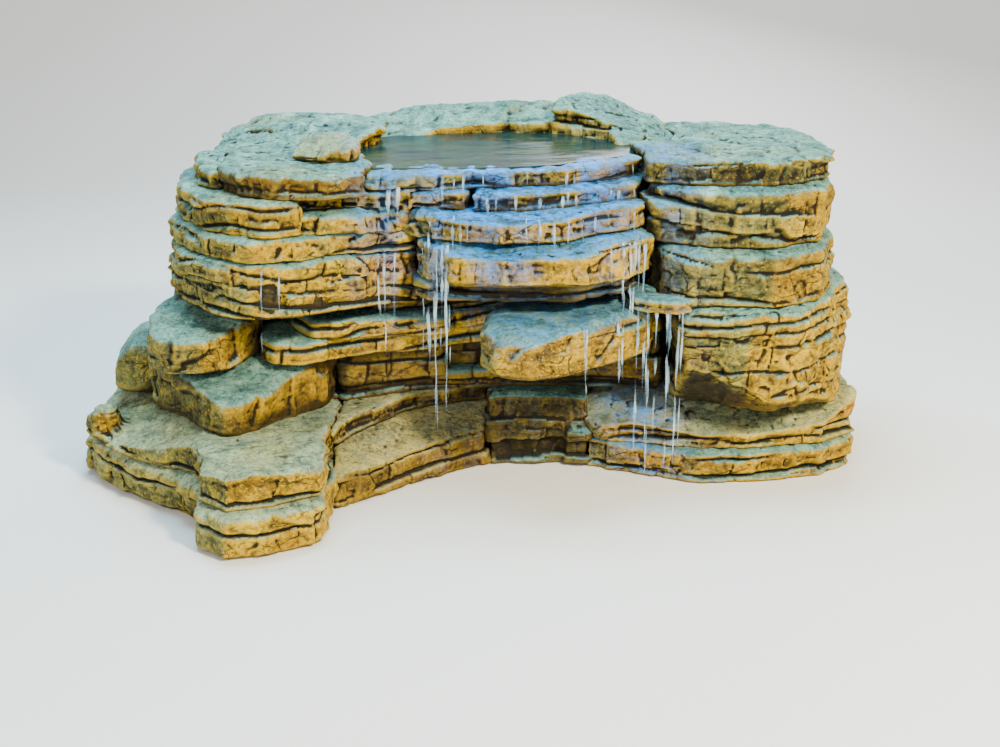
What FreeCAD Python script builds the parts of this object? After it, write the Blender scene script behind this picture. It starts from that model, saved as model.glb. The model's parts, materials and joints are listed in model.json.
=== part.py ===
"""Artificial-rock waterfall: a stack of hollow cast ledge rocks round a spilling basin.

Units are millimetres. +X is to the right and +Y to the back as one faces the cascade, +Z is up.
The origin is on the ground under the middle of the object's bounding box.

The rocks are thin-walled resin castings, open underneath, stacked in levels on each other. Behind
the cascade they leave a plumbing bay. A welded steel frame in the bay carries the water tub, and a
two-inch supply pipe climbs through a ball valve to a bulkhead fitting in the tub's floor. A rock-faced
panel closes the bay at the back and pulls straight out.
"""

import FreeCAD, Part
import math
import os

V = FreeCAD.Vector
UP, BACK, RIGHT = V(0, 0, 1), V(0, 1, 0), V(1, 0, 0)
ORIGIN = V(0, 0, 0)

# ---------------------------------------------------------------- driving dimensions
WALL = 8.0              # thickness of a cast rock's skin
SOLID_BELOW = 50.0      # a rock lower than this is cast solid
EDGE = 20.0             # how far a rock's edges are worn back
JOINT = 3.0             # gap between one rock and the next

# Levels on which the rocks sit
Z_WING_LOWER = 118.0
Z_RIGHT_SHELF = 90.0    # first layer of the right-hand base
Z_BASE = 205.0          # top of the base
Z_RECESS = 262.0        # foot of the dark recess in the grotto wall
Z_STEP = 360.0          # top of the lower step, foot of the upper step
Z_COURSE_3 = 418.0
Z_TOWER = 520.0         # foot of the towers
Z_UNDER = 556.0
Z_LEDGE_4 = 606.0       # foot of the lowest cascade ledge
Z_MID = 675.0           # main bedding joint of the towers
Z_LEDGE_3 = 717.0
Z_SHOULDER = 735.0
Z_LEDGE_2 = 787.0
Z_RIM = 832.0           # foot of the rim rocks; the tub's flange rests here too
Z_CAP = 900.0           # top of the caps
Z_LIP = 878.0           # edge that the water spills over

# Plumbing bay, the space that the rocks leave free behind the cascade: where it starts and ends
BAY_FRONT = 232.0
REAR_WALL_FRONT = 592.0
WALL_INSIDE = 652.0     # inner face of the rear wall

# Water tub
TUB_FLOOR = 622.0       # underside of the tub's floor
BULKHEAD_R = 36.0       # hole in the floor for the bulkhead fitting
DRAIN_X, DRAIN_Y, DRAIN_R = -200.0, 350.0, 13.0
TUB_TOP = 874.0
TUB_WALL = 5.0
TUB_FLANGE = 16.0
FLANGE_Z = Z_RIM        # underside of the flange
TUB_OUTLINE = [(-330, -32), (-80, -35), (190, 22), (395, 160), (425, 300), (380, 430), (250, 525),
               (50, 558), (-150, 540), (-285, 460), (-345, 320), (-352, 120)]

# Two-inch supply line
PIPE_R, PIPE_BORE_R = 30.15, 26.2
SOCKET_R = 30.2         # bore of a socket that takes the pipe
SOCKET_WALL = 5.0
SOCKET_DEPTH = 38.0
RISER_X, RISER_Y = 50.0, 400.0
SUPPLY_Z = 110.0        # height of the horizontal run
INLET_Y = 700.0         # outer end of the inlet socket

# Ball valve, on the riser
VALVE_Z = 385.0
VALVE_BODY_R = 46.0
BALL_R = 38.0
BALL_BORE_R = 25.0
STEM_R = 8.0
STEM_CLEARANCE = 0.05
LEVER_LENGTH, LEVER_WIDTH, LEVER_THICK = 118.0, 26.0, 6.0

# Access panel at the back
PANEL_LEFT, PANEL_RIGHT = -170.0, 270.0
PANEL_BOTTOM, PANEL_TOP = 240.0, 570.0
PANEL_GAP = 4.0
PANEL_Y = WALL_INSIDE + 0.5             # inner face of the panel
STUD_R, STUD_LENGTH = 5.0, 18.0
STUD_CLEARANCE = 0.05
GROMMET_NECK_R = 9.0
LIP_T = 6.0             # the wall's lip that the panel closes against
STUD_X = (PANEL_LEFT + 14, PANEL_RIGHT - 14)
STUD_Z = (PANEL_BOTTOM + 40, PANEL_TOP - 40)

# Frame
LEG_X = (-345.0, 425.0)
LEG_Y = (272.0, 552.0)
ANGLE, ANGLE_T = 30.0, 4.0
FOOT_PLATE, FOOT_T = 60.0, 6.0
ANCHOR_HOLE_R = 6.0


# ---------------------------------------------------------------- shapes
def inset(points, distance):
    """The outline with every edge moved inwards by distance. Points run anticlockwise seen from above."""
    moved = []
    count = len(points)
    for i in range(count):
        (ax, ay), (bx, by), (cx, cy) = points[i - 1], points[i], points[(i + 1) % count]
        first = math.hypot(bx - ax, by - ay)
        second = math.hypot(cx - bx, cy - by)
        n1 = (-(by - ay) / first, (bx - ax) / first)
        n2 = (-(cy - by) / second, (cx - bx) / second)
        reach = distance / (1 + n1[0] * n2[0] + n1[1] * n2[1])
        moved.append((bx + reach * (n1[0] + n2[0]), by + reach * (n1[1] + n2[1])))
    return moved


def layered(points, sections):
    """A closed solid through copies of one outline: sections are (height, how far the outline is inset)."""
    rings = [[V(x, y, z) for x, y in inset(points, d)] for z, d in sections]

    def face(corners):
        return Part.Face(Part.makePolygon(corners + corners[:1]))

    faces = [face(rings[0][::-1]), face(rings[-1])]
    count = len(points)
    for low, high in zip(rings, rings[1:]):
        for i in range(count):
            j = (i + 1) % count
            faces.append(face([low[i], low[j], high[j], high[i]]))
    solid = Part.Solid(Part.Shell(faces))
    if solid.Volume < 0:
        solid.reverse()
    return solid


def trimmed(solid, planes, sunk=0.0):
    """Cuts away what lies beyond each plane, given as (a point on it, its outward normal)."""
    reach = 4000.0
    for point, normal in planes:
        n = V(*normal).normalize()
        start = V(*point) - n * sunk
        block = Part.makeBox(reach, reach, reach, V(-reach / 2, -reach / 2, 0))
        block.Placement = FreeCAD.Placement(start, FreeCAD.Rotation(UP, n))
        solid = solid.cut(block)
    return solid


def tub_room(gap):
    """The space the water tub and its flange take up, with a gap all round."""
    room = layered(inset(TUB_OUTLINE, -gap), [(TUB_FLOOR - 30, 0), (Z_CAP + 200, 0)])
    flange = inset(TUB_OUTLINE, -TUB_FLANGE - gap)
    return room.fuse(layered(flange, [(FLANGE_Z, 0), (FLANGE_Z + TUB_WALL + gap, 0)]))


def rock(points, foot, top, edge=EDGE, planes=(), hollow=True, by_tub=False):
    """A cast rock: worn edges, flat facets where planes cut it, and a thin skin that is open underneath.

    A rock by the tub is cut back to follow the tub's outline.
    """
    edge = min(edge, (top - foot) / 3)
    outer = layered(points, [(foot, 0.5 * edge), (foot + 0.6 * edge, 0), (top - 1.2 * edge, 0.1 * edge),
                             (top - 0.4 * edge, 0.5 * edge), (top, 1.4 * edge)])
    outer = trimmed(outer, planes)
    if by_tub:
        outer = outer.cut(tub_room(JOINT))
    if not hollow or top - foot < SOLID_BELOW:
        return outer
    inner = layered(points, [(foot - 1, WALL + 0.5 * edge), (foot + 1, WALL + 0.5 * edge),
                             (top - WALL - edge, WALL + 0.5 * edge), (top - WALL, WALL + 1.4 * edge)])
    inner = trimmed(inner, planes, sunk=WALL)
    if by_tub:
        inner = inner.cut(tub_room(JOINT + WALL))
    return outer.cut(inner)


def tube(centre, axis, length, outer_r, inner_r):
    return Part.makeCylinder(outer_r, length, centre, axis).cut(
        Part.makeCylinder(inner_r, length + 2, centre - axis * 1, axis))


def hexagon(centre, axis, across, height):
    """A hexagonal prism, across its flats, standing on centre along axis."""
    r = across / math.sqrt(3)
    turns = [math.radians(60 * k) for k in range(7)]
    corners = [V(r * math.cos(a), r * math.sin(a), 0) for a in turns]
    prism = Part.Face(Part.makePolygon(corners)).extrude(UP * height)
    prism.Placement = FreeCAD.Placement(centre, FreeCAD.Rotation(UP, axis))
    return prism


def box(x0, x1, y0, y1, z0, z1):
    return Part.makeBox(x1 - x0, y1 - y0, z1 - z0, V(x0, y0, z0))


parts = {}


# ---------------------------------------------------------------- base rocks
parts["wing_lower"] = rock(
    [(-1110, 250), (-1140, 110), (-1128, -50), (-1060, -150), (-935, -255), (-795, -366), (-735, -446),
     (-715, -556), (-640, -648), (-515, -604), (-404, -536), (-404, 250)], 0, Z_WING_LOWER)
knob = rock(
    [(-1060, -12), (-1108, -34), (-1122, -84), (-1098, -130), (-1048, -142), (-1012, -100), (-1016, -40)],
    Z_WING_LOWER + 6, Z_BASE + 14, edge=30, hollow=False)
parts["wing_upper"] = rock(
    [(-1098, 250), (-1128, 110), (-1112, -70), (-1035, -180), (-905, -290), (-765, -376), (-728, -446),
     (-716, -546), (-640, -634), (-515, -592), (-404, -520), (-404, 250)], Z_WING_LOWER, Z_BASE, edge=16,
    planes=[((-1000, 0, Z_BASE - 12), (-0.22, -0.08, 1)),
            ((-830, -360, Z_BASE - 30), (-0.3, -0.12, 1))]).fuse(knob)
parts["front_base_lower"] = rock(
    [(-400, -322), (-285, -230), (-180, -138), (-66, -46), (20, 2), (20, 168), (298, 168), (298, 228),
     (-400, 228)],
    0, 150, edge=14, planes=[((-180, -138, 96), (0.2, -0.3, 1))])
parts["front_base_upper"] = rock(
    [(-400, -262), (-350, -160), (-290, -50), (-225, 20), (-126, 66), (-39, 110), (20, 130), (20, 228),
     (-400, 228)],
    150, Z_BASE, edge=14)
parts["pool_wall"] = rock(
    [(23, 8), (70, 20), (150, 12), (220, 24), (298, 4), (298, 164), (23, 164)], 0, Z_BASE, edge=14)
parts["right_base_lower"] = rock(
    [(302, 0), (450, -78), (615, -140), (790, -134), (970, -88), (1070, 10), (1085, 150), (1060, 298),
     (460, 298), (460, 228), (302, 228)], 0, Z_RIGHT_SHELF, edge=16)
parts["right_base_upper"] = rock(
    [(302, 40), (345, -35), (480, -62), (620, -104), (790, -100), (960, -66), (1070, 30), (1085, 160),
     (1050, 298), (460, 298), (460, 228), (302, 228)],
    Z_RIGHT_SHELF, Z_BASE, edge=14, planes=[((600, -100, Z_RIGHT_SHELF + 44), (0, -0.42, 1)),
                                            ((360, 0, Z_RIGHT_SHELF + 58), (-0.3, -0.2, 1))])
parts["rear_base_left"] = rock(
    [(-1090, 253), (-376, 253), (-376, 660), (-560, 690), (-800, 650), (-980, 520), (-1070, 380)], 0, Z_BASE)
parts["rear_base_right"] = rock(
    [(460, 301), (1060, 301), (1040, 470), (910, 620), (700, 680), (460, 690)], 0, Z_BASE)

# ---------------------------------------------------------------- left steps and flank
parts["lower_step"] = rock(
    [(-965, 40), (-945, -40), (-830, -175), (-745, -290), (-680, -345), (-630, -328), (-540, -215),
     (-432, -60), (-412, 40)],
    Z_BASE, Z_STEP, edge=18, planes=[((-680, -340, Z_BASE + 90), (0.05, -0.27, 1))])
parts["upper_step"] = rock(
    [(-888, 40), (-904, -100), (-896, -220), (-846, -282), (-745, -276), (-690, -222), (-648, -130),
     (-626, -40), (-626, 40)],
    Z_STEP, Z_TOWER, edge=18, planes=[((-780, -290, Z_STEP + 92), (0, -0.25, 1))])
parts["back_boulder"] = rock(
    [(-1078, 60), (-972, 44), (-909, 50), (-909, 246), (-1060, 246), (-1094, 160)], Z_BASE, Z_BASE + 190,
    edge=40, planes=[((-1085, 120, Z_BASE + 100), (-0.9, -0.2, 1)),
                     ((-1000, 60, Z_BASE + 150), (0, -0.8, 1))])
parts["left_flank"] = rock(
    [(-884, 44), (-643, 44), (-643, BAY_FRONT + 4), (-380, BAY_FRONT + 4), (-380, 588), (-760, 592),
     (-860, 540), (-904, 400), (-904, 252)], Z_BASE, Z_TOWER)

# ---------------------------------------------------------------- grotto wall, in courses
WALL_END = [(500, 110), (500, 228)]
course_foot = rock([(-406, 60), (-392, 20), (-250, 56), (-110, 88), (62, 100)] + WALL_END + [(-406, 228)],
                   Z_BASE, Z_RECESS, edge=8)
course_head = rock([(-406, 60), (-388, 6), (-250, 40), (-124, 70), (-116, 140), (16, 150), (30, 104)]
                   + WALL_END + [(-406, 228)], Z_RECESS, Z_STEP, edge=8)
parts["grotto_course_1"] = course_foot.fuse(course_head)
parts["grotto_course_2"] = rock(
    [(-620, -20), (-602, -110), (-562, -160), (-490, -165), (-400, -96), (-315, -56), (-200, -8), (-90, 46),
     (62, 100)] + WALL_END + [(-620, 228)], Z_STEP, Z_COURSE_3, edge=14)
brow = rock([(-520, 20), (-500, -50), (-455, -118), (-370, -112), (-240, -62), (-118, -42), (-80, 30),
             (62, 96)] + WALL_END + [(-520, 228)], Z_COURSE_3, Z_COURSE_3 + 50, edge=10)
shadow_course = rock([(-618, 0), (-500, -10), (-300, 10), (-100, 40), (62, 96)] + WALL_END + [(-618, 228)],
                     Z_COURSE_3 + 50, Z_TOWER, edge=8)
parts["grotto_course_3"] = brow.fuse(shadow_course)
under_foot = rock([(-168, 0), (-90, -42), (100, -65), (300, -72), (396, -60), (396, 228), (-168, 228)],
                  Z_TOWER, Z_UNDER, edge=6)
under_head = rock([(-168, -120), (-120, -190), (60, -222), (250, -206), (380, -150), (430, -60),
                   (396, 228), (-168, 228)], Z_UNDER, Z_LEDGE_4, edge=10)
parts["under_ledge"] = under_foot.fuse(under_head)
parts["jutting_boulder"] = rock(
    [(64, 90), (20, -120), (12, -290), (50, -372), (130, -392), (250, -345), (370, -258), (462, -160),
     (466, 104)],
    Z_STEP + 28, Z_TOWER - 4, edge=26, planes=[((130, -392, Z_STEP + 115), (-0.1, -0.32, 1)),
                                              ((330, -300, Z_STEP + 35), (0.35, -0.5, -1))])
parts["keystone_block"] = rock(
    [(402, -118), (412, -182), (520, -204), (562, -188), (562, -170), (480, -116), (464, -20),
     (464, 100), (440, 228), (399, 228)], Z_TOWER, Z_UNDER - 3, edge=7)

# ---------------------------------------------------------------- right tower
parts["right_pillar"] = rock(
    [(556, 20), (566, -160), (700, -188), (845, -176), (975, -50), (1040, 140), (1040, 380), (985, 540),
     (900, 588), (504, 588), (504, 232), (556, 180)],
    Z_BASE, Z_TOWER, edge=22, planes=[((640, -150, Z_BASE + 110), (-0.45, -0.75, -1)),
                                      ((900, -110, Z_BASE + 40), (0.3, -0.6, -1))])
parts["right_tower_mid"] = rock(
    [(560, 24), (470, -20), (486, -100), (570, -158), (780, -168), (925, -108), (992, 60), (1000, 330),
     (950, 540), (880, 588), (460, 588), (460, 232), (504, 228)],
    Z_TOWER, Z_MID, edge=26)
parts["right_tower_upper"] = rock(
    [(456, 20), (476, -62), (600, -122), (800, -132), (920, -84), (968, 60), (975, 340), (930, 540),
     (870, 588), (460, 588), (460, 232), (456, 150)],
    Z_MID, Z_RIM, edge=22, by_tub=True)

# ---------------------------------------------------------------- left tower
parts["left_tower_lower"] = rock(
    [(-885, 250), (-878, 90), (-845, -25), (-775, -150), (-695, -245), (-605, -296), (-475, -268),
     (-345, -186), (-245, -116), (-172, -84), (-172, 60), (-380, 228), (-380, 588), (-720, 588),
     (-840, 520)],
    Z_TOWER, Z_MID, by_tub=True)
parts["left_tower_upper"] = rock(
    [(-875, 250), (-868, 90), (-835, -20), (-765, -140), (-685, -235), (-600, -282), (-475, -256),
     (-350, -184), (-255, -122), (-193, -84), (-193, 60), (-380, 228), (-380, 588), (-715, 588),
     (-830, 515)],
    Z_MID, Z_SHOULDER, edge=12, by_tub=True)
parts["left_shoulder"] = rock(
    [(-862, 250), (-852, 80), (-815, -30), (-745, -140), (-660, -228), (-570, -262), (-482, -246),
     (-482, -46), (-380, -42), (-380, 588), (-710, 588), (-815, 510)],
    Z_SHOULDER, Z_RIM, edge=18)
lower_ledge = rock([(-479, -236), (-360, -196), (-262, -132), (-205, -104), (-193, -70), (-193, 60),
                    (-376, 60), (-376, -49), (-479, -49)], Z_SHOULDER, Z_LEDGE_2, edge=10, hollow=False, by_tub=True)
upper_ledge = rock([(-479, -178), (-385, -150), (-310, -114), (-180, -106), (-70, -122), (-36, -100),
                    (-30, 60), (-376, 60), (-376, -49), (-479, -49)], Z_LEDGE_2, Z_RIM, edge=8, by_tub=True)
parts["left_ledges"] = lower_ledge.fuse(upper_ledge)

# ---------------------------------------------------------------- cascade
parts["spill_lip"] = rock(
    [(-302, -48), (-300, -92), (-200, -108), (-80, -98), (60, -72), (215, -40), (340, 40), (440, 120),
     (446, 158), (380, 240), (-80, 60)],
    Z_RIM, Z_LIP, edge=8, by_tub=True)
parts["cascade_ledge_2"] = rock(
    [(-27, 60), (-24, -142), (110, -132), (290, -80), (440, 24), (453, 116), (453, 228), (300, 228)],
    Z_LEDGE_2, Z_RIM, edge=10, by_tub=True)
parts["cascade_ledge_3"] = rock(
    [(-190, 60), (-188, -90), (-128, -160), (-60, -204), (60, -226), (230, -196), (370, -126),
     (440, -50), (453, 112), (453, 228), (300, 228)],
    Z_LEDGE_3, Z_LEDGE_2, edge=14, planes=[((60, -226, Z_LEDGE_3 + 52), (0, -0.16, 1))], by_tub=True)
parts["cascade_ledge_4"] = rock(
    [(-169, 60), (-168, -110), (-128, -196), (-60, -250), (80, -278), (260, -258), (400, -196),
     (455, -110), (453, 112), (453, 228), (300, 228)],
    Z_LEDGE_4, Z_LEDGE_3, edge=22, planes=[((100, -280, Z_LEDGE_3 - 40), (0, -0.4, 1))], by_tub=True)

# ---------------------------------------------------------------- caps and rim
parts["left_cap"] = rock(
    [(-702, 248), (-702, 40), (-690, -90), (-630, -182), (-530, -236), (-400, -240), (-318, -190),
     (-306, -60), (-300, 248)],
    Z_RIM, Z_CAP, edge=16, by_tub=True)
parts["left_rim_side"] = rock(
    [(-812, 248), (-800, 60), (-765, -40), (-706, -90), (-706, 248)], Z_RIM, Z_CAP - 20, edge=18)
parts["left_rim_rear"] = rock(
    [(-808, 252), (-300, 252), (-300, 470), (-400, 640), (-560, 655), (-710, 605), (-786, 460)],
    Z_RIM, Z_CAP + 34, edge=24, planes=[((-500, 300, Z_CAP), (-0.12, -0.18, 1))], by_tub=True)
parts["left_rim_rock"] = rock(
    [(-530, 10), (-470, -50), (-352, -92), (-326, 0), (-372, 96), (-500, 110)], Z_CAP, Z_CAP + 58,
    edge=14, planes=[((-470, 0, Z_CAP + 28), (-0.3, -0.3, 1)), ((-350, -60, Z_CAP + 40), (0.9, -0.3, 1))])
parts["rear_rim"] = rock(
    [(-396, 640), (-296, 472), (-152, 440), (50, 440), (196, 440), (240, 690), (60, 712), (-200, 700)],
    Z_RIM, Z_CAP + 62, edge=22, planes=[((0, 560, Z_CAP + 10), (-0.06, -0.4, 1))], by_tub=True)
parts["rim_peak"] = rock(
    [(200, 440), (396, 304), (560, 304), (572, 480), (530, 650), (430, 690), (244, 690)],
    Z_RIM, Z_CAP + 84, edge=28, planes=[((330, 640, Z_CAP + 84), (0.32, -0.2, 1)),
                                        ((420, 420, Z_CAP + 30), (-0.2, -0.6, 1))], by_tub=True)
parts["right_cap"] = rock(
    [(452, 160), (458, -20), (560, -76), (720, -92), (870, -80), (950, -10), (978, 140), (978, 300),
     (965, 460), (880, 600), (700, 650), (534, 654), (576, 480), (564, 301), (400, 301)],
    Z_RIM, Z_CAP + 4, edge=20, by_tub=True)

# ---------------------------------------------------------------- rear wall and access panel
wall_outline = [(-376, REAR_WALL_FRONT), (456, REAR_WALL_FRONT), (456, 676), (250, 686), (-60, 690),
                (-376, 672)]
rear_wall = layered(wall_outline, [(0, 8), (12, 0), (Z_RIM - 14, 0), (Z_RIM, 10)])
rear_wall = rear_wall.cut(box(-350, 430, 560, WALL_INSIDE, -1, Z_RIM - WALL))
rear_wall = rear_wall.cut(box(PANEL_LEFT, PANEL_RIGHT, 560, 720, PANEL_BOTTOM, PANEL_TOP))
lip = box(PANEL_LEFT - 20, PANEL_RIGHT + 20, WALL_INSIDE - LIP_T, WALL_INSIDE,
          PANEL_BOTTOM - 20, PANEL_TOP + 20)
lip = lip.cut(box(PANEL_LEFT + 28, PANEL_RIGHT - 28, 600, 700, PANEL_BOTTOM + 28, PANEL_TOP - 28))
rear_wall = rear_wall.fuse(lip)
for x in STUD_X:
    for z in STUD_Z:
        rear_wall = rear_wall.cut(Part.makeCylinder(GROMMET_NECK_R, 20, V(x, WALL_INSIDE - 15, z), BACK))
parts["rear_wall"] = rear_wall.cut(
    Part.makeCylinder(SOCKET_R + SOCKET_WALL + 6, 200, V(RISER_X, 560, SUPPLY_Z), BACK))

panel_outline = [(PANEL_LEFT + PANEL_GAP, PANEL_Y), (PANEL_RIGHT - PANEL_GAP, PANEL_Y),
                 (PANEL_RIGHT - PANEL_GAP, 682), (60, 696), (PANEL_LEFT + PANEL_GAP, 686)]
panel = layered(panel_outline, [(PANEL_BOTTOM + PANEL_GAP, 4), (PANEL_BOTTOM + 14, 0), (PANEL_TOP - 14, 0),
                                (PANEL_TOP - PANEL_GAP, 4)])
parts["access_panel"] = panel.cut(box(0, 100, PANEL_Y + 18, 720, PANEL_TOP - 50, PANEL_TOP - 24))

parts["panel_studs"] = Part.makeCompound(
    [Part.makeCylinder(STUD_R, STUD_LENGTH, V(x, PANEL_Y - STUD_LENGTH, z), BACK)
     for x in STUD_X for z in STUD_Z])


def grommet(x, z):
    """A rubber grommet in the wall's lip, with its flange on the inner side."""
    flange_y = WALL_INSIDE - LIP_T
    ring = tube(V(x, flange_y - 3, z), BACK, 3, GROMMET_NECK_R + 3, STUD_R + STUD_CLEARANCE)
    return ring.fuse(tube(V(x, flange_y, z), BACK, LIP_T, GROMMET_NECK_R, STUD_R + STUD_CLEARANCE))


parts["panel_grommets"] = Part.makeCompound([grommet(x, z) for x in STUD_X for z in STUD_Z])

# ---------------------------------------------------------------- water tub
TUB_SLOPE = 18.0
tub = layered(TUB_OUTLINE, [(TUB_FLOOR, TUB_SLOPE), (TUB_FLOOR + TUB_SLOPE, 0), (TUB_TOP, 0)])
tub = tub.fuse(layered(inset(TUB_OUTLINE, -TUB_FLANGE), [(FLANGE_Z, 0), (FLANGE_Z + TUB_WALL, 0)]))
tub = tub.cut(layered(TUB_OUTLINE, [(TUB_FLOOR + TUB_WALL, TUB_SLOPE + TUB_WALL),
                                    (TUB_FLOOR + TUB_SLOPE + 2, TUB_WALL), (TUB_TOP + 1, TUB_WALL)]))
tub = tub.cut(Part.makeCylinder(BULKHEAD_R, 40, V(RISER_X, RISER_Y, TUB_FLOOR - 10)))
parts["water_tub"] = tub.cut(Part.makeCylinder(DRAIN_R, 40, V(DRAIN_X, DRAIN_Y, TUB_FLOOR - 10)))

drain = hexagon(V(DRAIN_X, DRAIN_Y, TUB_FLOOR - 9), UP, 32, 9)
parts["drain_plug"] = drain.fuse(Part.makeCylinder(DRAIN_R - 0.2, 14, V(DRAIN_X, DRAIN_Y, TUB_FLOOR)))

# ---------------------------------------------------------------- bulkhead fitting and diffuser
GASKET_T = 4.0
floor_top = TUB_FLOOR + TUB_WALL
riser = V(RISER_X, RISER_Y, 0)
FLANGE_R, FLANGE_T = 56.0, 8.0
BARREL_DROP = 62.0
flange_foot = floor_top + GASKET_T
barrel_foot = TUB_FLOOR - BARREL_DROP
body = Part.makeCylinder(FLANGE_R, FLANGE_T, riser + UP * flange_foot)
body = body.fuse(Part.makeCylinder(BULKHEAD_R, flange_foot - barrel_foot, riser + UP * barrel_foot))
body = body.cut(Part.makeCylinder(PIPE_BORE_R, 200, riser + UP * (barrel_foot - 10)))
parts["bulkhead_body"] = body.cut(Part.makeCylinder(SOCKET_R, SOCKET_DEPTH, riser + UP * (barrel_foot)))
parts["bulkhead_gasket"] = tube(riser + UP * floor_top, UP, GASKET_T, FLANGE_R - 2, BULKHEAD_R)
NUT_T = 18.0
parts["bulkhead_nut"] = hexagon(riser + UP * (TUB_FLOOR - NUT_T), UP, 100, NUT_T).cut(
    Part.makeCylinder(BULKHEAD_R, 60, riser + UP * (TUB_FLOOR - NUT_T - 10)))

DIFFUSER_R, DIFFUSER_H = 62.0, 95.0
diffuser_foot = flange_foot + FLANGE_T
diffuser = Part.makeCylinder(DIFFUSER_R, DIFFUSER_H, riser + UP * diffuser_foot).cut(
    Part.makeCylinder(DIFFUSER_R - 4, DIFFUSER_H - 4, riser + UP * (diffuser_foot - 1)))
SLOTS = 12
for k in range(SLOTS):
    slot = box(0, DIFFUSER_R + 10, -6, 6, diffuser_foot + 18, diffuser_foot + 78)
    slot.rotate(ORIGIN, UP, 360.0 * k / SLOTS)
    slot.translate(riser)
    diffuser = diffuser.cut(slot)
parts["diffuser_cap"] = diffuser

# ---------------------------------------------------------------- supply line and valve
ELBOW_R = 52.0
SOCKET_OUT = SOCKET_R + SOCKET_WALL
corner = V(RISER_X, RISER_Y, SUPPLY_Z)
elbow_top = corner + UP * ELBOW_R
elbow_back = corner + BACK * ELBOW_R


def bend(radius):
    """A quarter turn from the horizontal run up into the riser."""
    disc = Part.Face(Part.Wire(Part.makeCircle(radius, elbow_top, UP)))
    return disc.revolve(corner + (UP + BACK) * ELBOW_R, RIGHT, 90)


elbow = bend(SOCKET_OUT)
elbow = elbow.fuse(Part.makeCylinder(SOCKET_OUT, SOCKET_DEPTH, elbow_top, UP))
elbow = elbow.fuse(Part.makeCylinder(SOCKET_OUT, SOCKET_DEPTH, elbow_back, BACK))
elbow = elbow.cut(bend(PIPE_BORE_R))
elbow = elbow.cut(Part.makeCylinder(SOCKET_R, SOCKET_DEPTH + 1, elbow_top, UP))
parts["riser_elbow"] = elbow.cut(Part.makeCylinder(SOCKET_R, SOCKET_DEPTH + 1, elbow_back, BACK))

valve_low = VALVE_Z - 60
valve_high = VALVE_Z + 60
lower_end = valve_low + SOCKET_DEPTH - 10       # where the riser's two lengths stop inside the valve
upper_end = valve_high - SOCKET_DEPTH + 10
parts["lower_riser"] = tube(elbow_top, UP, lower_end - elbow_top.z, PIPE_R, PIPE_BORE_R)
parts["upper_riser"] = tube(riser + UP * upper_end, UP, barrel_foot + SOCKET_DEPTH - upper_end, PIPE_R,
                            PIPE_BORE_R)
COUPLING_FACE = INLET_Y - SOCKET_DEPTH - 4      # stop inside the inlet coupling
parts["supply_pipe"] = tube(elbow_back, BACK, COUPLING_FACE - elbow_back.y, PIPE_R, PIPE_BORE_R)
inlet_end = V(RISER_X, INLET_Y, SUPPLY_Z)
coupling_length = 2 * SOCKET_DEPTH + 4
coupling = Part.makeCylinder(SOCKET_OUT, coupling_length, inlet_end - BACK * coupling_length, BACK)
coupling = coupling.cut(Part.makeCylinder(SOCKET_R, SOCKET_DEPTH, inlet_end - BACK * SOCKET_DEPTH, BACK))
coupling = coupling.cut(Part.makeCylinder(SOCKET_R, SOCKET_DEPTH, inlet_end - BACK * coupling_length, BACK))
parts["inlet_coupling"] = coupling.cut(
    Part.makeCylinder(PIPE_BORE_R, coupling_length, inlet_end - BACK * coupling_length, BACK))

valve_centre = riser + UP * VALVE_Z
BONNET_REACH = 66.0
body = Part.makeCylinder(VALVE_BODY_R, 64, riser + UP * (VALVE_Z - 32))
body = body.fuse(Part.makeCylinder(SOCKET_OUT + 3, valve_high - valve_low, riser + UP * valve_low))
body = body.fuse(Part.makeCylinder(20, BONNET_REACH, valve_centre, BACK))
body = body.cut(Part.makeSphere(BALL_R + 0.3, valve_centre))
body = body.cut(Part.makeCylinder(BALL_BORE_R, 200, riser + UP * (valve_low - 10)))
body = body.cut(Part.makeCylinder(SOCKET_R, SOCKET_DEPTH - 10, riser + UP * valve_low))
body = body.cut(Part.makeCylinder(SOCKET_R, SOCKET_DEPTH - 9, riser + UP * upper_end))
parts["valve_body"] = body.cut(Part.makeCylinder(STEM_R + STEM_CLEARANCE, 120, valve_centre, BACK))

ball = Part.makeSphere(BALL_R, valve_centre)
ball = ball.cut(Part.makeCylinder(BALL_BORE_R, 200, valve_centre - UP * 100))
stem_slot = box(RISER_X - 3, RISER_X + 3, RISER_Y + BALL_R - 6, RISER_Y + BALL_R + 9, VALVE_Z - 20, VALVE_Z + 20)
parts["valve_ball"] = ball.cut(stem_slot)
stem_foot = valve_centre + BACK * (BALL_R + 0.5)
STEM_LENGTH = 50.0
parts["valve_stem"] = Part.makeCylinder(STEM_R, STEM_LENGTH, stem_foot, BACK).fuse(
    box(RISER_X - 2.8, RISER_X + 2.8, stem_foot.y - 6, stem_foot.y, VALVE_Z - 7, VALVE_Z + 7))

lever_y = RISER_Y + BONNET_REACH + 4
lever_tip = V(RISER_X, lever_y, VALVE_Z + LEVER_LENGTH)
lever = Part.makeCylinder(21, LEVER_THICK + 6, V(RISER_X, lever_y, VALVE_Z), BACK)
lever = lever.fuse(box(RISER_X - LEVER_WIDTH / 2, RISER_X + LEVER_WIDTH / 2, lever_y, lever_y + LEVER_THICK,
                       VALVE_Z, VALVE_Z + LEVER_LENGTH))
lever = lever.fuse(Part.makeCylinder(LEVER_WIDTH / 2, LEVER_THICK, lever_tip, BACK))
for side in (-1, 1):
    edge_x = RISER_X + side * (LEVER_WIDTH / 2 - 2)
    lever = lever.fuse(box(edge_x - 2, edge_x + 2, lever_y, lever_y + LEVER_THICK + 6, VALVE_Z + 16,
                           VALVE_Z + LEVER_LENGTH))
parts["valve_lever"] = lever.cut(Part.makeCylinder(STEM_R, 60, V(RISER_X, lever_y - 20, VALVE_Z), BACK))
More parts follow.
